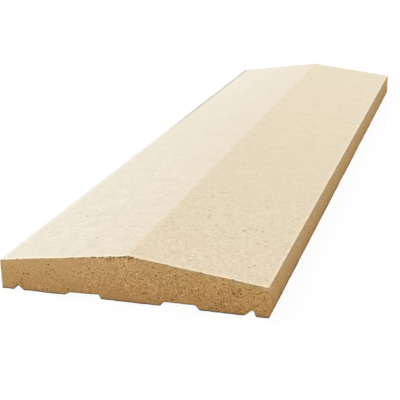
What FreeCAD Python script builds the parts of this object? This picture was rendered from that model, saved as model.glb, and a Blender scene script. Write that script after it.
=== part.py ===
"""Twice-weathered wall coping stone, cast in one piece, for the top of a 200 mm garden wall.

Frame: +Y along the wall, +X across it, +Z up.
The origin is the middle of the bed, the flat underside that lies on the wall.
Sizes are in millimetres.
"""
import FreeCAD
import Part
import Sketcher
import math
import os

DRIVING_SIZES = {
    # The block: two slopes rise from the eaves to a ridge over the middle of the wall.
    "stone_length": 1000,
    "stone_width": 280,
    "eaves_height": 32,
    "ridge_rise": 18,
    # The drip: a throat under each overhang, steep towards the outside, where water lets go.
    "lip_width": 13,
    "drip_width": 11.5,
    "drip_depth": 6,
    "drip_throat_radius": 2,
    "drip_outer_angle": 70,
    # The mortar key: a wide shallow channel either side of the middle strip of the bed.
    "middle_bed_width": 62,
    "key_width": 40,
    "key_depth": 4.5,
    "key_wall_angle": 50,
    # Edges: a ridge that is just rounded, and arrises eased round the top and down the corners.
    "ridge_radius": 10,
    "arris_radius": 1,
}

# How a sketch numbers its own axes, downwards, and the points of a line or an arc, upwards.
X_AXIS, Y_AXIS = range(-1, -3, -1)
START, END, CENTRE = range(1, 4)
ORIGIN = (X_AXIS, START)

# Two points closer than this are the same point.
NEAR = 1e-4
CUBIC_MM_PER_LITRE = 1e6


def make_sheet(document):
    """The spreadsheet with one row for each driving size: its name and its value."""
    sheet = document.addObject("Spreadsheet::Sheet", "Sizes")
    for row, (alias, value) in enumerate(DRIVING_SIZES.items(), start=1):
        sheet.set(f"A{row}", alias)
        sheet.set(f"B{row}", str(value))
        sheet.setAlias(f"B{row}", alias)
    document.recompute()
    return sheet


def origin_plane(body, role):
    """One of the body's own origin planes, by its role."""
    return next(plane for plane in body.Origin.OriginFeatures if plane.Role == role)


def new_section_sketch(body, name):
    """An empty sketch across the wall: its x runs along +X and its y along +Z."""
    sketch = body.newObject("Sketcher::SketchObject", name)
    sketch.AttachmentSupport = [(origin_plane(body, "XZ_Plane"), "")]
    sketch.MapMode = "FlatFace"
    return sketch


def draw_closed(sketch, points):
    """Straight lines through the points in turn and back to the first, joined end to start."""
    corners = [FreeCAD.Vector(x, z, 0) for x, z in points]
    lines = [
        sketch.addGeometry(Part.LineSegment(here, there), False)
        for here, there in zip(corners, corners[1:] + corners[:1])
    ]
    for line, following in zip(lines, lines[1:] + lines[:1]):
        sketch.addConstraint(Sketcher.Constraint("Coincident", line, END, following, START))
    return lines


def bind(sketch, name, constraint, expression):
    """Adds a named dimension to the sketch and ties it to the driving sizes."""
    index = sketch.addConstraint(constraint)
    sketch.renameConstraint(index, name)
    sketch.setExpression(f"Constraints.{name}", expression)


def run_along_wall(feature, sketch):
    """Makes a pad or pocket of the sketch as long as the stone, half to each side of the sketch."""
    feature.Profile = sketch
    feature.SideType = "Symmetric"
    feature.setExpression("Length", "Sizes.stone_length")
    return feature


def weathered_block(body, sheet):
    """The stone's outer shape: a flat bed, upright sides and two slopes that meet in the ridge."""
    half = sheet.stone_width / 2
    sketch = new_section_sketch(body, "WeatheredSection")
    bed, right, right_slope, left_slope, left = draw_closed(
        sketch,
        [
            (-half, 0),
            (half, 0),
            (half, sheet.eaves_height),
            (0, sheet.eaves_height + sheet.ridge_rise),
            (-half, sheet.eaves_height),
        ],
    )
    sketch.addConstraint(Sketcher.Constraint("Symmetric", bed, START, bed, END, *ORIGIN))
    sketch.addConstraint(Sketcher.Constraint("Vertical", right))
    sketch.addConstraint(Sketcher.Constraint("Vertical", left))
    sketch.addConstraint(Sketcher.Constraint("Equal", right, left))
    sketch.addConstraint(Sketcher.Constraint("PointOnObject", right_slope, END, Y_AXIS))
    sketch.addConstraint(Sketcher.Constraint("Horizontal", bed))
    bind(
        sketch, "width", Sketcher.Constraint("DistanceX", bed, START, bed, END, 2 * half),
        "Sizes.stone_width",
    )
    bind(
        sketch, "eaves", Sketcher.Constraint("DistanceY", right, START, right, END, sheet.eaves_height),
        "Sizes.eaves_height",
    )
    bind(
        sketch, "rise",
        Sketcher.Constraint("DistanceY", right, END, right_slope, END, sheet.ridge_rise),
        "Sizes.ridge_rise",
    )
    return run_along_wall(body.newObject("PartDesign::Pad", "WeatheredBlock"), sketch)


def drip_throat(body, sheet):
    """The drip on the +X side: a slanting inner wall, a round throat and a steep outer wall."""
    radius = sheet.drip_throat_radius
    outer_angle = math.radians(sheet.drip_outer_angle)
    outer = sheet.stone_width / 2 - sheet.lip_width
    inner = outer - sheet.drip_width
    centre_z = sheet.drip_depth - radius
    centre_x = outer - (radius + centre_z * math.cos(outer_angle)) / math.sin(outer_angle)

    # The inner wall leaves the inner edge of the mouth and touches the throat's circle.
    to_centre = math.hypot(centre_x - inner, centre_z)
    inner_angle = math.atan2(centre_z, centre_x - inner) + math.asin(radius / to_centre)
    turn_in = math.pi / 2 + inner_angle
    turn_out = math.pi / 2 - outer_angle

    def on_throat(angle):
        return (centre_x + radius * math.cos(angle), centre_z + radius * math.sin(angle))

    sketch = new_section_sketch(body, "DripSection")
    centre = FreeCAD.Vector(centre_x, centre_z, 0)
    circle = Part.Circle(centre, FreeCAD.Vector(0, 0, 1), radius)
    throat = sketch.addGeometry(Part.ArcOfCircle(circle, turn_out, turn_in), False)
    inner_mouth, outer_mouth = FreeCAD.Vector(inner, 0, 0), FreeCAD.Vector(outer, 0, 0)
    inner_wall = sketch.addGeometry(
        Part.LineSegment(inner_mouth, FreeCAD.Vector(*on_throat(turn_in), 0)), False
    )
    outer_wall = sketch.addGeometry(
        Part.LineSegment(FreeCAD.Vector(*on_throat(turn_out), 0), outer_mouth), False
    )
    mouth = sketch.addGeometry(Part.LineSegment(outer_mouth, inner_mouth), False)
    sketch.addConstraint(Sketcher.Constraint("Tangent", inner_wall, END, throat, END))
    sketch.addConstraint(Sketcher.Constraint("Tangent", outer_wall, START, throat, START))
    sketch.addConstraint(Sketcher.Constraint("Coincident", outer_wall, END, mouth, START))
    sketch.addConstraint(Sketcher.Constraint("Coincident", mouth, END, inner_wall, START))
    sketch.addConstraint(Sketcher.Constraint("PointOnObject", mouth, START, X_AXIS))
    sketch.addConstraint(Sketcher.Constraint("PointOnObject", mouth, END, X_AXIS))
    bind(
        sketch, "outer_mouth", Sketcher.Constraint("DistanceX", *ORIGIN, mouth, START, outer),
        "Sizes.stone_width / 2 - Sizes.lip_width",
    )
    bind(
        sketch, "mouth_width",
        Sketcher.Constraint("DistanceX", mouth, END, mouth, START, sheet.drip_width),
        "Sizes.drip_width",
    )
    bind(
        sketch, "throat_radius", Sketcher.Constraint("Radius", throat, radius),
        "Sizes.drip_throat_radius",
    )
    bind(
        sketch, "throat_centre", Sketcher.Constraint("DistanceY", *ORIGIN, throat, CENTRE, centre_z),
        "Sizes.drip_depth - Sizes.drip_throat_radius",
    )
    bind(
        sketch, "outer_angle",
        Sketcher.Constraint("Angle", outer_wall, END, mouth, START, outer_angle),
        "Sizes.drip_outer_angle * 1 deg",
    )
    return run_along_wall(body.newObject("PartDesign::Pocket", "DripThroat"), sketch)


def mortar_key(body, sheet):
    """The channel on the +X side that the bedding mortar grips, with sloping walls."""
    inner = sheet.middle_bed_width / 2
    outer = inner + sheet.key_width
    wall_angle = math.radians(sheet.key_wall_angle)
    run = sheet.key_depth / math.tan(wall_angle)
    sketch = new_section_sketch(body, "KeySection")
    mouth, outer_wall, roof, inner_wall = draw_closed(
        sketch,
        [
            (inner, 0),
            (outer, 0),
            (outer - run, sheet.key_depth),
            (inner + run, sheet.key_depth),
        ],
    )
    sketch.addConstraint(Sketcher.Constraint("PointOnObject", mouth, START, X_AXIS))
    sketch.addConstraint(Sketcher.Constraint("Horizontal", mouth))
    sketch.addConstraint(Sketcher.Constraint("Horizontal", roof))
    sketch.addConstraint(Sketcher.Constraint("Equal", inner_wall, outer_wall))
    bind(
        sketch, "inner_edge", Sketcher.Constraint("DistanceX", *ORIGIN, mouth, START, inner),
        "Sizes.middle_bed_width / 2",
    )
    bind(
        sketch, "mouth_width",
        Sketcher.Constraint("DistanceX", mouth, START, mouth, END, sheet.key_width),
        "Sizes.key_width",
    )
    bind(
        sketch, "depth", Sketcher.Constraint("DistanceY", *ORIGIN, roof, START, sheet.key_depth),
        "Sizes.key_depth",
    )
    bind(
        sketch, "wall_angle",
        Sketcher.Constraint("Angle", mouth, START, inner_wall, END, wall_angle),
        "Sizes.key_wall_angle * 1 deg",
    )
    return run_along_wall(body.newObject("PartDesign::Pocket", "MortarKey"), sketch)


def mirror_across_ridge(body, features):
    """The same drip and key on the -X side."""
    mirrored = body.newObject("PartDesign::Mirrored", "OtherSide")
    mirrored.Originals = features
    mirrored.MirrorPlane = (origin_plane(body, "YZ_Plane"), [""])
    body.Tip = mirrored
    return mirrored


def edges_where(feature, wanted):
    """The names of the feature's edges whose middle, and both ends, satisfy the test."""
    names = []
    for number, edge in enumerate(feature.Shape.Edges, start=1):
        points = [vertex.Point for vertex in edge.Vertexes] + [edge.CenterOfMass]
        if all(wanted(point) for point in points):
            names.append(f"Edge{number}")
    return names


def ease(body, base, name, edges, radius_alias):
    """Rounds the named edges of the base feature to a driving radius."""
    fillet = body.newObject("PartDesign::Fillet", name)
    fillet.Base = (base, edges)
    fillet.setExpression("Radius", f"Sizes.{radius_alias}")
    body.Tip = fillet
    return fillet


def check_cut(feature, before):
    """Stops the build if a cut took nothing away from what stood before it."""
    if feature.Shape.Volume > before.Shape.Volume - NEAR:
        raise RuntimeError(f"{feature.Label} cuts nothing from {before.Label}")


def check_document(document):
    """Stops the build if any object of the document failed, or a sketch isn't held in full."""
    for item in document.Objects:
        if "Invalid" in item.State or "Error" in item.State:
            raise RuntimeError(f"{item.Label} failed: {item.State}")
        if item.TypeId == "Sketcher::SketchObject" and not item.FullyConstrained:
            raise RuntimeError(f"{item.Label} can still move")


def make_coping_stone(document, sheet):
    """One cast stone: the block, then what is cut from its bed, then its eased edges."""
    body = document.addObject("PartDesign::Body", "CopingStone")
    body.Label = "coping_stone"
    half_width = sheet.stone_width / 2
    half_length = sheet.stone_length / 2
    ridge_height = sheet.eaves_height + sheet.ridge_rise

    block = weathered_block(body, sheet)
    document.recompute()
    drip = drip_throat(body, sheet)
    key = mortar_key(body, sheet)
    document.recompute()
    both_sides = mirror_across_ridge(body, [drip, key])
    document.recompute()
    for feature, before in ((drip, block), (key, drip), (both_sides, key)):
        check_cut(feature, before)

    def on_ridge(point):
        return abs(point.x) < NEAR and abs(point.z - ridge_height) < NEAR

    rounded_ridge = ease(
        body, both_sides, "RoundedRidge", edges_where(both_sides, on_ridge), "ridge_radius"
    )
    document.recompute()

    def on_side(point):
        return abs(abs(point.x) - half_width) < NEAR

    def on_end(point):
        return abs(abs(point.y) - half_length) < NEAR

    def on_top(point):
        return point.z > sheet.eaves_height - NEAR

    eaves = edges_where(rounded_ridge, lambda point: on_side(point) and on_top(point))
    verges = edges_where(rounded_ridge, lambda point: on_end(point) and on_top(point))
    corners = edges_where(rounded_ridge, lambda point: on_end(point) and on_side(point))
    ease(body, rounded_ridge, "EasedArrises", eaves + verges + corners, "arris_radius")
    document.recompute()
    return body


def main():
    """Builds the stone, checks it and writes its solid."""
    document = FreeCAD.newDocument("WallCoping")
    sheet = make_sheet(document)
    stone = make_coping_stone(document, sheet)
    check_document(document)
    if stone.Shape.isNull() or not stone.Shape.isValid():
        raise RuntimeError(f"{stone.Label} has no valid shape")
    os.makedirs("parts", exist_ok=True)
    stone.Shape.exportStep(f"parts/{stone.Label}.step")
    box = stone.Shape.BoundBox
    print(f"{stone.Label}: {box.XLength:.1f} x {box.YLength:.1f} x {box.ZLength:.2f} mm,", end=" ")
    print(f"{stone.Shape.Volume / CUBIC_MM_PER_LITRE:.3f} litres, {len(stone.Shape.Solids)} solid")


main()
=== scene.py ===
import math
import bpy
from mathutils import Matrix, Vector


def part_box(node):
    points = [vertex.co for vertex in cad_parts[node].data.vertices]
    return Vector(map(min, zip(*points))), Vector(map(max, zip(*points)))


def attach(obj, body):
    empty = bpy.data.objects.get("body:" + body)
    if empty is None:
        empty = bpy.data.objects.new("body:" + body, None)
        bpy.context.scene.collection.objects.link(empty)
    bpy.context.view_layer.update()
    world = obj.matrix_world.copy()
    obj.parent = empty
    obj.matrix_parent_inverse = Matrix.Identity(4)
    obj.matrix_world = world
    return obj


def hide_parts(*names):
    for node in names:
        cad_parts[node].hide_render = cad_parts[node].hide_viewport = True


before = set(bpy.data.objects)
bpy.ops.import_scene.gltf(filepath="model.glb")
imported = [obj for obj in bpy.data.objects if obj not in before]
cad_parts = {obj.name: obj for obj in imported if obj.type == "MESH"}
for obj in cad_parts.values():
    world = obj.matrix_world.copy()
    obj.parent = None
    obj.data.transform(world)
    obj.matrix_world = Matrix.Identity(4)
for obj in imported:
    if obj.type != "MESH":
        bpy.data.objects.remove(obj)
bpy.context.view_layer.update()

from types import SimpleNamespace

import bpy
import numpy as np
from mathutils import Quaternion, Vector


# The coping stone is one piece of cast stone: damp sand and cement, rammed into a mould.
# It lies on its bed. The slopes shed rain over the eaves, the drips underneath let the drops fall,
# and the mortar of the wall grips the two keys.
mm = 0.001
half_width, half_length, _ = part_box("coping_stone")[1]
eaves_height = 32 * mm
ridge_rise = 18 * mm
ridge_radius = 10 * mm
lip_width = 13 * mm
drip_width = 11.5 * mm
drip_depth = 6 * mm
drip_throat_radius = 2 * mm
drip_outer_angle = math.radians(70)
middle_bed_width = 62 * mm
key_width = 40 * mm
key_depth = 4.5 * mm
key_wall_angle = math.radians(50)

ridge_reach = ridge_radius * math.sin(math.atan2(ridge_rise, half_width))


def slope_height(x):
    """Straight slopes from both eaves, and over the ridge an arc of a circle that touches both."""
    from_ridge = np.abs(x)
    straight = eaves_height + ridge_rise * (1 - np.maximum(from_ridge, ridge_reach) / half_width)
    within = np.minimum(from_ridge, ridge_reach)
    return straight + np.sqrt(ridge_radius**2 - within**2) - math.sqrt(ridge_radius**2 - ridge_reach**2)


def bed_corners(throat_steps=6):
    """Distances from the middle, and heights, of the corners of half the bed's section.

    A key is a trapezium. A drip is two straight walls joined by an arc that touches both: the outer
    wall's angle is given, and the inner wall runs from the mouth's edge to its tangent on the arc.
    """
    key_inner = middle_bed_width / 2
    key_outer = key_inner + key_width
    key_run = key_depth / math.tan(key_wall_angle)
    drip_outer = half_width - lip_width
    drip_inner = drip_outer - drip_width
    centre_z = drip_depth - drip_throat_radius
    centre_x = drip_outer - (
        (drip_throat_radius + centre_z * math.cos(drip_outer_angle)) / math.sin(drip_outer_angle)
    )
    to_centre = math.hypot(centre_x - drip_inner, centre_z)
    inner_angle = math.atan2(centre_z, centre_x - drip_inner) + math.asin(drip_throat_radius / to_centre)
    turn = np.linspace(math.pi / 2 + inner_angle, math.pi / 2 - drip_outer_angle, throat_steps)
    throat_x = centre_x + drip_throat_radius * np.cos(turn)
    throat_z = centre_z + drip_throat_radius * np.sin(turn)
    key_x = [0, key_inner, key_inner + key_run, key_outer - key_run, key_outer, drip_inner]
    key_z = [0, 0, key_depth, key_depth, 0, 0]
    return (
        np.concatenate([key_x, throat_x, [drip_outer, half_width]]),
        np.concatenate([key_z, throat_z, [0, 0]]),
    )


def spread(marks, pitch):
    """Every mark, and between two marks evenly spaced places no further apart than the pitch."""
    rounding_slack = 1e-6
    counts = np.ceil(np.diff(marks) / pitch - rounding_slack).astype(int)
    stretches = [
        np.linspace(low, high, count, endpoint=False)
        for low, high, count in zip(marks, marks[1:], counts)
    ]
    return np.append(np.concatenate(stretches), marks[-1])


def both_ways(places):
    """Places from nought outwards, and the same on the other side of nought."""
    return np.concatenate([-places[:0:-1], places])


def fade(distance, reach):
    """1 at no distance, falling evenly to 0 at the reach."""
    return np.clip(1 - distance / reach, 0, 1)


# The skin is the outside of a block of columns across, stations along and layers up.
# They stand close together at the arrises, where the block is rounded, and where crumbs have come away.
arris_reach = 3 * mm
arris_rows = 8
arris_crowding = 1.8
column_pitch = 2.7 * mm
crumb_pitch = 1.1 * mm
crumbled_from, crumbled_to = -38 * mm, 8 * mm
station_pitch = 8 * mm
end_station_pitch = 3.2 * mm
end_stretch = 60 * mm
body_layers = 13

arris_steps = arris_reach * np.linspace(0, 1, arris_rows) ** arris_crowding
bed_x, bed_z = bed_corners()
ridge_marks = ridge_reach * np.array([0.5, 1.0, 1.5])
column_marks = np.concatenate([ridge_marks, bed_x[:-1], half_width - arris_steps])
columns = both_ways(spread(np.unique(column_marks), column_pitch))
columns = np.concatenate([
    columns[columns <= crumbled_from],
    spread(columns[(columns > crumbled_from) & (columns < crumbled_to)], crumb_pitch),
    columns[columns >= crumbled_to],
])
end_marks = half_length - np.concatenate([[end_stretch], arris_steps[::-1]])
middle_stations = spread([0, half_length - end_stretch], station_pitch)
stations = both_ways(np.concatenate([middle_stations[:-1], spread(end_marks, end_station_pitch)]))
layer_rise = np.concatenate([
    arris_steps[:-1],
    np.full(body_layers, arris_reach),
    2 * arris_reach - arris_steps[-2::-1],
])
layer_share = np.clip((np.arange(layer_rise.size) - arris_rows + 1) / (body_layers - 1), 0, 1)

block = (columns.size, stations.size, layer_rise.size)
on_skin = np.zeros(block, bool)
for axis in range(3):
    np.moveaxis(on_skin, axis, 0)[[0, -1]] = True
number = np.full(block, -1)
number[on_skin] = np.arange(on_skin.sum())
column, station, layer = np.nonzero(on_skin)
bed = np.interp(np.abs(columns[column]), bed_x, bed_z)

# The core that leaves the left key had tipped in the mould at the near end: the key is shallower there
# towards the eaves, its outer wall leans more and its inner wall less. Further in it lies as it should.
tipped_run = 150 * mm
tipped_inner_run, tipped_outer_run = 2.2 * mm, 6.5 * mm
tipped_inner_depth, tipped_outer_depth = 4.4 * mm, 3.3 * mm
tipped_x = middle_bed_width / 2 + np.array([0, tipped_inner_run, key_width - tipped_outer_run, key_width])
tipped_bed = np.interp(-columns[column], tipped_x, [0, tipped_inner_depth, tipped_outer_depth, 0])
in_left_key = (columns[column] < -tipped_x[0]) & (columns[column] > -tipped_x[-1])
bed += in_left_key * fade(half_length + stations[station], tipped_run) * (tipped_bed - bed)

slope = slope_height(columns[column])
rise = layer_rise[layer] + layer_share[layer] * (slope - bed - 2 * arris_reach)
sharp = np.stack([columns[column], stations[station], bed + rise], axis=1)


def ripple(points, wavelength, seed, waves=24):
    """The sum of plane waves of about one length, with random directions and phases, spread about 1."""
    dice = np.random.default_rng(seed)
    heading = dice.normal(size=(waves, 3))
    heading /= np.linalg.norm(heading, axis=1, keepdims=True)
    length = wavelength * dice.uniform(0.7, 1.4, size=(waves, 1))
    phase = dice.uniform(0, 2 * math.pi, size=waves)
    return np.sin(2 * math.pi * points @ (heading / length).T + phase).sum(axis=1) * math.sqrt(2 / waves)


# What a point lacks of the arris radius in from the side, the end and the slope or the bed is a vector.
# Near an arris it is longer than the radius. Shortened to it, it turns the sharp arris into an arc,
# and it points the way out of the stone.
fresh_arris_radius = 0.9 * mm
least_wear, most_wear, wear_play = 0.5, 1.8, 0.3
long_wear, short_wear = 45 * mm, 8 * mm
wear = 1 + wear_play * ripple(sharp, long_wear, seed=11) + wear_play * ripple(sharp, short_wear, seed=12)
arris_radius = fresh_arris_radius * np.clip(wear, least_wear, most_wear)
from_side = half_width - np.abs(sharp[:, 0])
from_end = half_length - np.abs(sharp[:, 1])
from_slope = slope - sharp[:, 2]
inside = np.stack([from_side, from_end, from_slope, rise], axis=1)
short = np.clip(1 - inside / arris_radius[:, None], 0, None)
lack = np.stack([short[:, 0], short[:, 1], short[:, 2] - short[:, 3]], axis=1)
lack[:, :2] *= np.sign(sharp[:, :2])
outward = lack / np.maximum(np.linalg.norm(lack, axis=1, keepdims=True), 1)
rounded = sharp - arris_radius[:, None] * (lack - outward)


# The faces of a cast stone are never quite flat, and crumbs of sand have come away from its top arrises.
# Both only take stone away, so that the piece stays inside its mould.
def chips(points, centres, reach, depth):
    """How deep the deepest chip is at each point: a bowl that is nothing at its reach from its centre."""
    apart = np.linalg.norm(points[:, None] - centres, axis=2) / reach
    return (depth * np.clip(1 - apart**2, 0, None)).max(axis=1)


def verge_places(dice, count, low_x, high_x, end):
    """Places along the top arris of one end, at random within equal lengths of it."""
    x = np.interp((np.arange(count) + dice.random(count)) / count, (0, 1), (low_x, high_x))
    return np.stack([x, np.full(count, end * half_length), slope_height(x)], axis=1)


crumb_count = 14
crumb_drop = 3 * mm
crumb_reach = (0.8 * mm, 1.4 * mm)
verge_chip_count = 10
verge_chip_reach = (1.0 * mm, 1.7 * mm)
chip_depth_share = (0.45, 0.8)
mould_clearance = 0.03 * mm
hollow_depth, mean_hollow = 0.05 * mm, 1.5
# The length of the waves, their share of the hollows' depth, and the seed of their dice.
hollow_waves = ((70 * mm, 0.7, 21), (20 * mm, 0.5, 22), (9 * mm, 0.4, 23))

chip_dice = np.random.default_rng(31)
crumbs = verge_places(chip_dice, crumb_count, crumbled_from, crumbled_to, end=-1)
crumbs[:, 2] -= chip_dice.uniform(0, crumb_drop, crumb_count)
verge_chips = np.concatenate([
    verge_places(chip_dice, verge_chip_count, -half_width, half_width, end)
    for end in (-1, 1)
])
chip_centres = np.concatenate([crumbs, verge_chips])
chip_reach = np.concatenate([
    chip_dice.uniform(*crumb_reach, len(crumbs)),
    chip_dice.uniform(*verge_chip_reach, len(verge_chips)),
])
chip_depth = chip_reach * chip_dice.uniform(*chip_depth_share, len(chip_reach))
chipped = chips(rounded, chip_centres, chip_reach, chip_depth)
hollows = hollow_depth * sum(
    (share * ripple(sharp, wavelength, seed) for wavelength, share, seed in hollow_waves),
    start=mean_hollow,
)
skin = rounded - outward * (mould_clearance + np.clip(hollows, 0, None) + chipped)[:, None]

# The slopes are paler than the faces below them: partly paled by weather, partly painted light where the
# broad lamp falls.
# Painted highlights run along the rims of the near end and the right eaves, and down the upright arrises.
# Just below the slopes the stone is greyed, and crumbly about the ridge. The foot is darker, soiled and
# with a painted contact shadow; the far half of the left eaves and the sides just below the eaves are
# darker too. Painted light lifts the shade in the drips. Each is a share from 0 to 1 at every point of the
# skin, and a fullness above 1 keeps it whole for a part of its width before it fades.
pale_top_tilt = (0.45, 0.75)
side_depth = 1 * mm
# Widths and strengths of the painted highlights along the arrises.
near_rim_width, right_rim_width = 5 * mm, 3.3 * mm
near_rim_strength, slope_rim_fullness = 0.8, 1.8
arris_rim_width, arris_rim_depth, arris_rim_strength = 2 * mm, 12 * mm, 0.6
greyed_depth, greyed_side_depth = 4.5 * mm, 6 * mm
crumbly_middle, crumbly_reach, crumbly_depth = 5 * mm, 90 * mm, 4.5 * mm
# Heights of the darker foot, soiled and with a painted contact shadow, and its fullness.
foot_height, side_foot_height, foot_fullness = 2.8 * mm, 5 * mm, 1.5
bed_tilt = -0.999
clean_in_drip = 0.75
# The far half of the left eaves, and the sides just below the eaves, are darker: widths, runs and
# strengths.
dark_eaves_width, dark_eaves_run, left_eaves_darkness = 7 * mm, 150 * mm, 0.75
below_eaves_depth, below_eaves_darkness = 5 * mm, 0.16
end_reach = 120 * mm
crumb_edge, crumb_floor = 0.12 * mm, 0.32 * mm
drip_light_tilt, drip_light_fullness = (0.5, 0.9), 1.5

across_stone, along_stone = sharp[:, 0], sharp[:, 1]
on_side = fade(from_side, side_depth)
# Paler on the upward slopes: partly paled by weather, partly painted light from the lamp above.
bleached_and_lit = np.interp(outward[:, 2], pale_top_tilt, (0, 1))
off_slopes = 1 - bleached_and_lit
# Painted highlights along the top arrises of the near end and the right eaves, and down the upright
# arrises.
near_highlight = near_rim_strength * fade(half_length + along_stone, near_rim_width)
right_highlight = fade(half_width - across_stone, right_rim_width)
arris_highlight = arris_rim_strength * fade(from_side, arris_rim_width) * fade(from_end, arris_rim_depth)
slope_highlight = np.clip(slope_rim_fullness * np.maximum(near_highlight, right_highlight), 0, 1)
rim = bleached_and_lit * slope_highlight + off_slopes * arris_highlight
greyed = off_slopes * fade(from_slope, greyed_depth + (greyed_side_depth - greyed_depth) * on_side)
about_ridge = fade(np.abs(across_stone - crumbly_middle), crumbly_reach)
crumbly = off_slopes * fade(from_slope, crumbly_depth) * about_ridge
# The foot is darker: soiled, and with a painted contact shadow where the stone meets the floor.
upright = off_slopes * (outward[:, 2] > bed_tilt)
foot_reach = foot_height + (side_foot_height - foot_height) * on_side
foot = upright * np.clip(foot_fullness * fade(rise, foot_reach), 0, 1)
foot *= 1 - clean_in_drip * (bed / drip_depth) ** 2
# Darker along the far half of the left eaves, and on the sides just below the eaves.
left_eaves = bleached_and_lit * fade(half_width + across_stone, dark_eaves_width)
left_eaves *= np.clip(along_stone / dark_eaves_run, 0, 1)
below_eaves = off_slopes * fade(from_slope, below_eaves_depth) * on_side
darkened = np.maximum(foot, np.maximum(left_eaves_darkness * left_eaves, below_eaves_darkness * below_eaves))
by_end = fade(from_end, end_reach)
# Chips are darker the deeper they go: painted shade in the hollows.
crumbled = np.interp(chipped, (crumb_edge, crumb_floor), (0, 1))
# Painted light lifts the shade on the walls of the drips, the more the deeper in.
beyond_keys = np.abs(across_stone) > middle_bed_width / 2 + key_width
in_drip = beyond_keys * np.clip(drip_light_fullness * bed / drip_depth, 0, 1)
drip_painted_light = in_drip * np.interp(-outward[:, 2], drip_light_tilt, (0, 1))


def quads(sheet):
    """The four-sided faces of a sheet of numbered points, wound from its first axis to its second."""
    corners = [sheet[:-1, :-1], sheet[1:, :-1], sheet[1:, 1:], sheet[:-1, 1:]]
    return np.stack(corners, axis=-1).reshape(-1, 4)


ridge_column = np.abs(columns).argmin()
faces_of = {
    "right_slope": quads(number[ridge_column:, :, -1]),
    "left_slope": quads(number[:ridge_column + 1, :, -1]),
    "bed": quads(number[:, :, 0])[:, ::-1],
    "right_side": quads(number[-1]),
    "left_side": quads(number[0])[:, ::-1],
    "near_end": quads(number[:, 0]),
    "far_end": quads(number[:, -1])[:, ::-1],
}

# Air caught against the mould leaves pinholes, in patches, and most towards the near end: so many there,
# and so many a quarter of the way along and beyond. Each one takes the place of one face of the skin.
pinholes_per_cm2 = {
    "right_slope": (0.55, 0.08),
    "left_slope": (0.05, 0.02),
    "bed": (0.12, 0.08),
    "right_side": (0.5, 0.4),
    "left_side": (0.5, 0.4),
    "near_end": (1.9, 1.9),
    "far_end": (1.9, 1.9),
}
cm2 = (10 * mm) ** 2
pinhole_patch, patch_mean, patch_play = 30 * mm, 0.7, 0.7
smallest_pinhole, largest_pinhole, pinhole_spread = 0.34 * mm, 1.1 * mm, 0.4
rim_play, bowl_depth_share = (0.75, 1.25), (0.8, 1.5)
face_room, rim_room = 1.5, 1.3
ring_reach, ring_depth = 0.72, 0.7
rim_points = 8
bowl_points = 2 * rim_points + 1
# Bowls darken from rim to bottom: painted shade in the pinholes.
rim_darkness, ring_darkness = 0.25, 0.9


def face_frame(faces):
    """Middle of each face, the two ways along it, its outward normal, and half its length each way."""
    a, b, c, d = np.moveaxis(skin[faces], 1, 0)
    along = (b + c - a - d) / 2
    across = (c + d - a - b) / 2
    half_along = np.linalg.norm(along, axis=1, keepdims=True) / 2
    half_across = np.linalg.norm(across, axis=1, keepdims=True) / 2
    normal = np.cross(along, across)
    normal /= np.linalg.norm(normal, axis=1, keepdims=True)
    along /= 2 * half_along
    return (a + b + c + d) / 4, along, np.cross(normal, along), normal, half_along, half_across


def choose_pinholed(dice, faces, near, beyond):
    """Picks faces at random, as many as the densities give, among those wide enough for a pinhole."""
    middle, *_, half_along, half_across = face_frame(faces)
    roomy = np.minimum(half_along, half_across)[:, 0] > face_room * smallest_pinhole
    area = 4 * (half_along * half_across)[:, 0]
    patchy = np.clip(patch_mean + patch_play * ripple(middle, pinhole_patch, seed=42), 0, None)
    here = beyond + (near - beyond) * fade(half_length + middle[:, 1], half_length / 2)
    return roomy & (dice.random(len(faces)) < here * patchy * area / cm2)


def pinholes(dice, faces, first_number):
    """Points, shares of darkness, walls and triangles of bowls sunk into the given faces.

    A bowl is a rim of eight points on the face, each at its own distance from the bowl's middle, a
    ring of eight further in and most of the way down, and a lowest point. Four corners of the face
    are joined to the rim by triangles, and rim and ring by four-sided walls.
    """
    middle, along, across, normal, half_along, half_across = face_frame(faces)
    count = len(faces)
    radius = smallest_pinhole * np.exp(dice.exponential(pinhole_spread, (count, 1)))
    radius = np.minimum(radius, largest_pinhole)
    radius = np.minimum(radius, np.minimum(half_along, half_across) / rim_room)
    shift = dice.uniform(-1, 1, (2, count, 1))
    middle = middle + shift[0] * (half_along - rim_room * radius) * along
    middle = middle + shift[1] * (half_across - rim_room * radius) * across
    first_corner = math.radians(-135)
    turn = first_corner + 2 * math.pi * np.arange(rim_points) / rim_points
    rim_radius = radius * dice.uniform(*rim_play, (count, rim_points))
    depth = radius * dice.uniform(*bowl_depth_share, (count, 1))

    def ring(share, down):
        """Eight points round the middle, at these shares of the rim's radius and of the depth."""
        reach = (share * rim_radius)[..., None]
        ways = np.cos(turn)[:, None] * along[:, None] + np.sin(turn)[:, None] * across[:, None]
        return middle[:, None] + reach * ways - down * (depth * normal)[:, None]

    lowest = (middle - depth * normal)[:, None]
    points = np.concatenate([ring(1, 0), ring(ring_reach, ring_depth), lowest], axis=1)
    darkness = np.repeat([rim_darkness, ring_darkness, 1.0], [rim_points, rim_points, 1])
    first = first_number + bowl_points * np.arange(count)[:, None]
    rim = first + np.arange(rim_points)
    after = np.roll(rim, -1, axis=1)
    inner, inner_after = rim + rim_points, after + rim_points
    bottom = np.broadcast_to(first + bowl_points - 1, rim.shape)
    corner, next_corner = faces, np.roll(faces, -1, axis=1)
    toward, beside, beyond = rim[:, ::2], rim[:, 1::2], np.roll(rim[:, ::2], -1, axis=1)
    walls = np.stack([rim, after, inner_after, inner], axis=-1)
    triangles = np.concatenate([
        np.stack([corner, next_corner, beside], axis=-1),
        np.stack([corner, beside, toward], axis=-1),
        np.stack([next_corner, beyond, beside], axis=-1),
        np.stack([inner, inner_after, bottom], axis=-1),
    ], axis=1)
    return points.reshape(-1, 3), np.tile(darkness, count), walls, triangles


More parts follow.
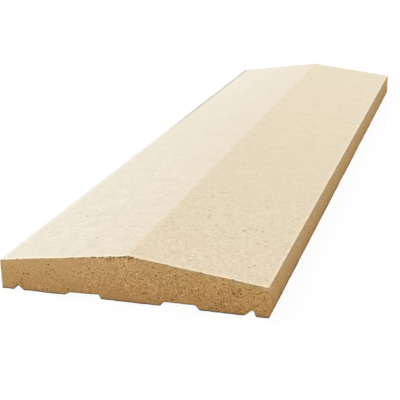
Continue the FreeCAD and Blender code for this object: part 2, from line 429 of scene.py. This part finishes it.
pinhole_dice = np.random.default_rng(41)
picked = {
    name: choose_pinholed(pinhole_dice, faces, *pinholes_per_cm2[name])
    for name, faces in faces_of.items()
}
plain_faces = np.concatenate([faces[~picked[name]] for name, faces in faces_of.items()])
pinholed_faces = np.concatenate([faces[picked[name]] for name, faces in faces_of.items()])
sunk_points, bowl_darkness, bowl_walls, bowl_triangles = pinholes(pinhole_dice, pinholed_faces, len(skin))
points = np.concatenate([skin, sunk_points])
stone_mesh = bpy.data.meshes.new("coping_stone_cast")
stone_mesh.from_pydata(
    points,
    [],
    plain_faces.tolist() + bowl_walls.reshape(-1, 4).tolist() + bowl_triangles.reshape(-1, 3).tolist(),
)

# Unwrapped, the faces of the stone lie side by side on one square map, with the slopes joined at the ridge
# and the ends drawn larger than the rest.
# For each face: the axis that runs across the map and the one that runs up it, and its edges each way.
whole_height = (0.004, 0.996)
map_places = {
    "left_slope": (0, 1, (0.004, 0.240), whole_height),
    "right_slope": (0, 1, (0.240, 0.476), whole_height),
    "bed": (0, 1, (0.752, 0.484), whole_height),
    "right_side": (2, 1, (0.822, 0.760), whole_height),
    "left_side": (2, 1, (0.830, 0.892), whole_height),
    "near_end": (2, 0, (0.996, 0.900), (0.004, 0.496)),
    "far_end": (2, 0, (0.900, 0.996), (0.504, 0.996)),
}
face_names = list(faces_of)
plain_count = np.array([(~picked[name]).sum() for name in face_names])
bowl_count = np.array([picked[name].sum() for name in face_names])
corners = np.concatenate([plain_faces.ravel(), bowl_walls.ravel(), bowl_triangles.ravel()])
corner_face = np.concatenate([
    np.repeat(face_names, plain_count * plain_faces[0].size),
    np.repeat(face_names, bowl_count * bowl_walls[0].size),
    np.repeat(face_names, bowl_count * bowl_triangles[0].size),
])
unwrapped = np.empty((corners.size, 2))
for name, (across_axis, up_axis, across_edges, up_edges) in map_places.items():
    here = corner_face == name
    for way, axis, edges in ((0, across_axis, across_edges), (1, up_axis, up_edges)):
        place = points[corners[here], axis]
        unwrapped[here, way] = np.interp(place, (place.min(), place.max()), edges)
stone_mesh.uv_layers.new(name="OFBake").uv.foreach_set("vector", unwrapped.astype(np.float32).ravel())


def with_bowls(values):
    """The skin's values, and for the points of each bowl the mean of the corners of its face."""
    return np.concatenate([values, np.repeat(values[pinholed_faces].mean(axis=1), bowl_points)])


for name, values in {
    "bleached_and_lit": with_bowls(bleached_and_lit),
    "rim": with_bowls(rim),
    "greyed": with_bowls(greyed),
    "crumbly": with_bowls(crumbly),
    "by_end": with_bowls(by_end),
    "darkened": with_bowls(darkened),
    "drip_painted_light": with_bowls(drip_painted_light),
    "sunk": np.concatenate([crumbled, bowl_darkness]),
}.items():
    stone_mesh.attributes.new(name, "FLOAT", "POINT").data.foreach_set("value", values.astype(np.float32))
sharp_angle = math.radians(38)
stone_mesh.shade_smooth()
stone_mesh.set_sharp_from_angle(angle=sharp_angle)
coping_stone = bpy.data.objects.new("coping_stone_cast", stone_mesh)
bpy.context.scene.collection.objects.link(coping_stone)


class Wire:
    """An output of a node in a material's tree. Sums on it add their own nodes to the tree."""

    def __init__(self, tree, socket=None):
        self.tree = tree
        self.socket = socket

    def node(self, kind, settings=None, inputs=None, output=0):
        """Adds a node of this kind: first its settings, then the values or wires of its sockets."""
        made = self.tree.nodes.new(kind)
        for name, value in (settings or {}).items():
            setattr(made, name, value)
        for key, value in (inputs or {}).items():
            if isinstance(value, Wire):
                self.tree.links.new(value.socket, made.inputs[key])
            else:
                made.inputs[key].default_value = value
        return Wire(self.tree, made.outputs[output] if made.outputs else None)

    def math(self, operation, first, second):
        """Adds a Math node for two values or wires."""
        return self.node("ShaderNodeMath", {"operation": operation}, {0: first, 1: second})

    def __add__(self, other):
        return self.math("ADD", self, other)

    def __radd__(self, other):
        return self.math("ADD", other, self)

    def __sub__(self, other):
        return self.math("SUBTRACT", self, other)

    def __rsub__(self, other):
        return self.math("SUBTRACT", other, self)

    def __mul__(self, other):
        return self.math("MULTIPLY", self, other)

    def __rmul__(self, other):
        return self.math("MULTIPLY", other, self)

    def step(self, low, high):
        """A smooth step from 0 at the low value to 1 at the high one."""
        settings = {"interpolation_type": "SMOOTHSTEP"}
        return self.node("ShaderNodeMapRange", settings, {"Value": self, "From Min": low, "From Max": high})

    def noise(self, size, detail=2.0):
        """Cloudy noise at this place, with clouds of about the given size."""
        inputs = {"Vector": self, "Scale": 1 / size, "Detail": detail}
        return self.node("ShaderNodeTexNoise", inputs=inputs)

    def grains(self, size):
        """A random value from 0 to 1 for each grain of about the given size."""
        inputs = {"Vector": self, "Scale": 1 / size}
        cells = self.node("ShaderNodeTexVoronoi", inputs=inputs, output="Color")
        return self.node("ShaderNodeSeparateColor", inputs={0: cells}, output="Red")

    def blend(self, low, high, kind="MIX"):
        """The low colour, going over to the high one as this value goes from 0 to 1."""
        low, high = (c if isinstance(c, Wire) else (*c, 1.0) for c in (low, high))
        settings = {"data_type": "RGBA", "blend_type": kind}
        return self.node("ShaderNodeMix", settings, {0: self, 6: low, 7: high}, output=2)

    def tint(self, colour, by):
        """The colour, going over to its product with the tint as this value goes from 0 to 1."""
        return self.blend(colour, by, "MULTIPLY")


def sand_at(place):
    """The stone's sand in all its sizes, as cloudy noise and as random values grain by grain."""
    return SimpleNamespace(
        cloud=place.noise(34 * mm, detail=3),
        patch=place.noise(16 * mm, detail=3),
        blotch=place.noise(7 * mm),
        coarse=place.noise(3.2 * mm),
        fine=place.noise(1.1 * mm),
        grit=place.grains(0.7 * mm) * 2 - 1,
        dark_grit=place.grains(0.95 * mm),
        pale_grit=place.grains(1.25 * mm),
        fleck=place.grains(1.5 * mm),
        grain=place.grains(1.9 * mm) * 2 - 1,
    )


def golden_faces(sand, across, height, rough, away):
    """Grains from deep to pale gold, with quartz and ironstone among them where the face is rough.

    The gold is tinted in patches and away from the ends. It is darkened towards the bottom and towards the
    right:
    painted shade, falling off from the upper left.
    """
    deep_gold, pale_gold = (0.356, 0.176, 0.010), (0.927, 0.647, 0.343)
    quartz, ironstone = (1.0, 0.755, 0.43), (0.165, 0.075, 0.016)
    patch_tint, foot_shade_tint = (1.0, 0.94, 0.86), (0.86, 0.80, 0.69)
    right_shade_tint, away_tint = (0.89, 0.832, 0.695), (1.03, 1.12, 1.32)
    contrast = 0.28 + 0.43 * rough
    speckle = 0.535 + (0.12 + sand.grit * 0.55 - sand.dark_grit.step(0.82, 0.97) * 1.1) * contrast
    colour = speckle.blend(deep_gold, pale_gold)
    colour = (sand.pale_grit.step(0.92, 0.96) * (0.1 + 0.6 * rough)).blend(colour, quartz)
    colour = sand.patch.step(0.3, 0.7).tint(colour, patch_tint)
    # Painted shade: darker towards the bottom of the stone and towards its right.
    colour = (1 - height.step(0, eaves_height + ridge_rise)).tint(colour, foot_shade_tint)
    colour = across.step(-half_width, half_width).tint(colour, right_shade_tint)
    colour = away.tint(colour, away_tint)
    return (sand.fleck.step(0.974, 0.986) * (0.25 + 0.65 * rough)).blend(colour, ironstone)


brown_grain = (0.33, 0.22, 0.11)


def left_cream(sand, across, along, settled, brown):
    """Dull to bright cream by the sand, calmer where it has settled, with few brown grains.

    It is paler and cooler than the right slope's cream: partly its own colour, partly painted light from
    the lamp on the left. It is tinted towards the ridge and, as a painted sheen, paler towards the far end;
    dust lies along its near eaves.
    """
    dull_cream, bright_cream = (0.664, 0.620, 0.499), (0.896, 0.833, 0.720)
    ridge_tint, far_sheen_tint = (0.971, 0.944, 0.923), (1.03, 1.035, 1.06)
    dust, dust_width, dust_end = (0.815, 0.785, 0.70), 9 * mm, 150 * mm
    mottle = (sand.patch - 0.5) * 0.6 + (sand.blotch - 0.5) * 0.5
    mottle = mottle + (sand.coarse - 0.5) * 0.6 + sand.grain * 0.12
    crust = 0.5 + mottle * 1.15 * (1 - 0.52 * settled)
    colour = crust.blend(dull_cream, bright_cream)
    colour = (brown * 0.35).blend(colour, brown_grain)
    colour = across.step(-half_width, 0).tint(colour, ridge_tint)
    # Paler towards the far end: painted sheen of the lamp on the slope seen at a glancing angle.
    colour = along.step(0, half_length).tint(colour, far_sheen_tint)
    dusty = (1 - across.step(-half_width, dust_width - half_width)) * (1 - along.step(-dust_end, dust_end))
    return dusty.blend(colour, dust)


def right_cream(sand, along, settled, brown):
    """Warm cream, paler towards the far end as a painted sheen, dulled between the grains and dotted with
    brown ones.
    It is warmer and darker than the left slope's cream: partly its own colour, partly painted shade away
    from the lamp on the left.
    """
    near_cream, far_sheen_cream = (0.85, 0.745, 0.575), (0.883, 0.805, 0.642)
    hollow_tint = (0.78, 0.75, 0.69)
    mottle = (sand.coarse - 0.5) * 0.9 + (sand.blotch - 0.5) * 0.55 + sand.grain * 0.29
    crust = 0.515 + (mottle - sand.fleck.step(0.85, 1.0) * 0.4) * (1 - 0.65 * settled)
    crust = crust + (sand.patch - 0.5) * 0.5 * settled
    # Paler towards the far end: painted sheen of the lamp on the slope seen at a glancing angle.
    colour = along.step(-half_length, half_length).blend(near_cream, far_sheen_cream)
    colour = (1 - crust).tint(colour, hollow_tint)
    return (brown * 0.8).blend(colour, brown_grain)


def cast_stone():
    """Golden sand and cement with paler and darker grains, cream on the slopes: partly weathered pale,
    partly painted light.
    """
    material = bpy.data.materials.new("cast_stone")
    material.use_nodes = True
    material.node_tree.nodes.clear()
    start = Wire(material.node_tree)
    place = start.node("ShaderNodeTexCoord", output="Object")
    across, along, height = (
        start.node("ShaderNodeSeparateXYZ", inputs={0: place}, output=axis)
        for axis in "XYZ"
    )
    bleached_and_lit, rim, greyed, crumbly, by_end, darkened, drip_painted_light, sunk = (
        start.node("ShaderNodeAttribute", {"attribute_name": name}, output="Fac")
        for name in ("bleached_and_lit", "rim", "greyed", "crumbly", "by_end", "darkened", "drip_painted_light", "sunk")
    )
    sand = sand_at(place)
    away = 1 - by_end.step(0, 1)
    rough = (sand.cloud + across * 1.8).step(0.36, 0.58) * (1 - 0.5 * away)
    settled = along.step(-half_length, 0)
    brown = sand.fleck.step(0.99, 0.995) * (1 - settled) * (sand.cloud - across * 0.8).step(0.42, 0.56)

    worn_run, worn_width = 90 * mm, 6 * mm
    line_play, line_left, line_right = 8 * mm, -4 * mm, 2.5 * mm
    worn = (1 - along.step(-half_length, worn_run - half_length)) * worn_width
    over_ridge = (across + (sand.patch - 0.5) * line_play).step(line_left - worn, line_right)
    # Left of the ridge the cream is paler and cooler, right of it warmer: partly own colour, partly painted
    # light from the left.
    cream = over_ridge.blend(
        left_cream(sand, across, along, settled, brown),
        right_cream(sand, along, settled, brown),
    )
    # Cream on the slopes over gold below: partly the stone's weathering, partly painted light on the lit
    # tops.
    colour = bleached_and_lit.blend(golden_faces(sand, across, height, rough, away), cream)

    left_highlight_tint, right_highlight_tint = (1.18, 1.15, 1.085), (1.165, 1.115, 1.045)
    grey_tint, darkening_brown, drip_light_colour = (0.86, 1.03, 1.38), (0.19, 0.135, 0.08), (0.95, 0.76, 0.45)
    smooth_pit, rough_pit = (0.40, 0.195, 0.018), (0.31, 0.125, 0.008)
    crumb_pit, cream_pit = (0.20, 0.085, 0.016), (0.34, 0.20, 0.08)
    # Painted highlights along the arrises, a little cooler on the left slope than on the right.
    rim_highlight_tint = over_ridge.blend(left_highlight_tint, right_highlight_tint)
    colour = (rim * (0.5 + sand.coarse)).tint(colour, rim_highlight_tint)
    colour = (greyed * (0.25 + sand.blotch.step(0.4, 0.6) * 1.5)).tint(colour, grey_tint)
    # Darker at the foot with soiling and a painted contact shadow; darker along the left eaves and below
    # the eaves.
    colour = (darkened * (0.45 + sand.patch * 0.8)).blend(colour, darkening_brown)
    # Painted light in the drips.
    colour = drip_painted_light.blend(colour, drip_light_colour)
    golden_pit = crumbly.step(0, 0.5).blend(rough.blend(smooth_pit, rough_pit), crumb_pit)
    pit = bleached_and_lit.blend(golden_pit, cream_pit)
    # Darker in the pinholes and chips, the more the deeper: painted shade in the hollows. About the ridge,
    # dark grains of the crumbly stone.
    colour = (sunk + crumbly * sand.dark_grit.step(0.6, 0.8)).blend(colour, pit)

    relief = (sand.fine + sand.coarse * 0.8 + sand.patch * 0.4) * (1 - 0.7 * bleached_and_lit)
    bump_inputs = {"Strength": 0.5, "Distance": 0.5 * mm, "Height": relief}
    shader = start.node("ShaderNodeBsdfPrincipled", inputs={
        "Base Color": colour,
        "Roughness": 0.78 + 0.16 * sand.patch,
        "Specular IOR Level": 0.3,
        "Normal": start.node("ShaderNodeBump", inputs=bump_inputs),
    })
    start.node("ShaderNodeOutputMaterial", inputs={"Surface": shader})
    return material


stone_mesh.materials.append(cast_stone())
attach(coping_stone, "root")
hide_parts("coping_stone")


# The floor is a plain white studio floor, painted without gloss. It keeps the stone's soft shadow.
# The camera sees it most of the way to white, and so do shiny and clear things.
def seen_directly(start):
    """1 for a ray that comes straight from the camera, or by way of a shiny or clear surface."""
    camera_ray, glossy_ray, clear_ray = (
        start.node("ShaderNodeLightPath", output=name)
        for name in ("Is Camera Ray", "Is Glossy Ray", "Is Transmission Ray")
    )
    return start.math("MINIMUM", camera_ray + glossy_ray + clear_ray, 1.0)


def floor_paint():
    """White paint without gloss, lifted most of the way to plain white where it is seen."""
    material = bpy.data.materials.new("floor_paint")
    material.use_nodes = True
    material.node_tree.nodes.clear()
    start = Wire(material.node_tree)
    paint = start.node("ShaderNodeBsdfDiffuse", inputs={"Color": (0.97, 0.97, 0.97, 1.0)})
    white = start.node("ShaderNodeEmission", inputs={"Color": (1.0, 1.0, 1.0, 1.0), "Strength": 1.0})
    white_share = 0.94
    lift = seen_directly(start) * white_share
    lifted = start.node("ShaderNodeMixShader", inputs={0: lift, 1: paint, 2: white})
    start.node("ShaderNodeOutputMaterial", inputs={"Surface": lifted})
    return material


floor_half = 6.0
floor_drop = 0.3 * mm
floor_mesh = bpy.data.meshes.new("studio_floor")
floor_corners = [
    (x * floor_half, y * floor_half, -floor_drop)
    for x, y in ((-1, -1), (1, -1), (1, 1), (-1, 1))
]
floor_mesh.from_pydata(floor_corners, [], [range(4)])
floor_mesh.materials.append(floor_paint())
studio_floor = bpy.data.objects.new("studio_floor", floor_mesh)
bpy.context.scene.collection.objects.link(studio_floor)


# The studio is a tent of white cloth all round, lit from outside, and seen as plain white.
# One broad lamp hangs high on the left, and a weak one low on the right lifts the side in shade.
studio = bpy.data.worlds.new("studio")
bpy.context.scene.world = studio
studio.use_nodes = True
studio.node_tree.nodes.clear()
studio_start = Wire(studio.node_tree)
tent_cloth, tent_level = (1.0, 0.985, 0.96, 1.0), 0.5
plain_white, white_level = (1.0, 1.0, 1.0, 1.0), 1.0
tent = studio_start.node("ShaderNodeBackground", inputs={"Color": tent_cloth, "Strength": tent_level})
backdrop = studio_start.node("ShaderNodeBackground", inputs={"Color": plain_white, "Strength": white_level})
seen = seen_directly(studio_start)
shown = studio_start.node("ShaderNodeMixShader", inputs={0: seen, 1: tent, 2: backdrop})
studio_start.node("ShaderNodeOutputWorld", inputs={"Surface": shown})


def lamp(name, toward, level, spread_angle):
    """A far lamp that shines one way: a white face square to it renders at the given level."""
    light = bpy.data.lights.new(name, "SUN")
    light.energy = level * math.pi
    light.angle = math.radians(spread_angle)
    placed = bpy.data.objects.new(name, light)
    placed.rotation_euler = Vector(toward).to_track_quat("-Z", "Y").to_euler()
    bpy.context.scene.collection.objects.link(placed)


lamp("broad_lamp", toward=(0.50, -0.10, -0.86), level=0.62, spread_angle=40)
lamp("side_lamp", toward=(-0.95, 0.05, -0.25), level=0.08, spread_angle=60)


# The camera stands beyond the near end, to the right of the ridge and above it, and looks along the stone.
# Its place, turn and focal length are those that bring the stone's edges to where the photograph has them.
picture_width = 400
focal_pixels = 926.8
right_of_ridge, beyond_end, above_bed = 315.8 * mm, 768.6 * mm, 391.3 * mm
look_azimuth = math.radians(-17.435)
look_down = math.radians(19.059)
roll = math.radians(-1.258)
look = Vector((
    math.sin(look_azimuth) * math.cos(look_down),
    math.cos(look_azimuth) * math.cos(look_down),
    -math.sin(look_down),
))
camera = bpy.data.objects.new("camera", bpy.data.cameras.new("camera"))
camera.data.lens = camera.data.sensor_width * focal_pixels / picture_width
camera.location = (right_of_ridge, -half_length - beyond_end, above_bed)
camera.rotation_euler = (look.to_track_quat("-Z", "Y") @ Quaternion((0, 0, 1), roll)).to_euler()
bpy.context.scene.collection.objects.link(camera)
bpy.context.scene.camera = camera
bpy.context.scene.view_settings.view_transform = "Standard"
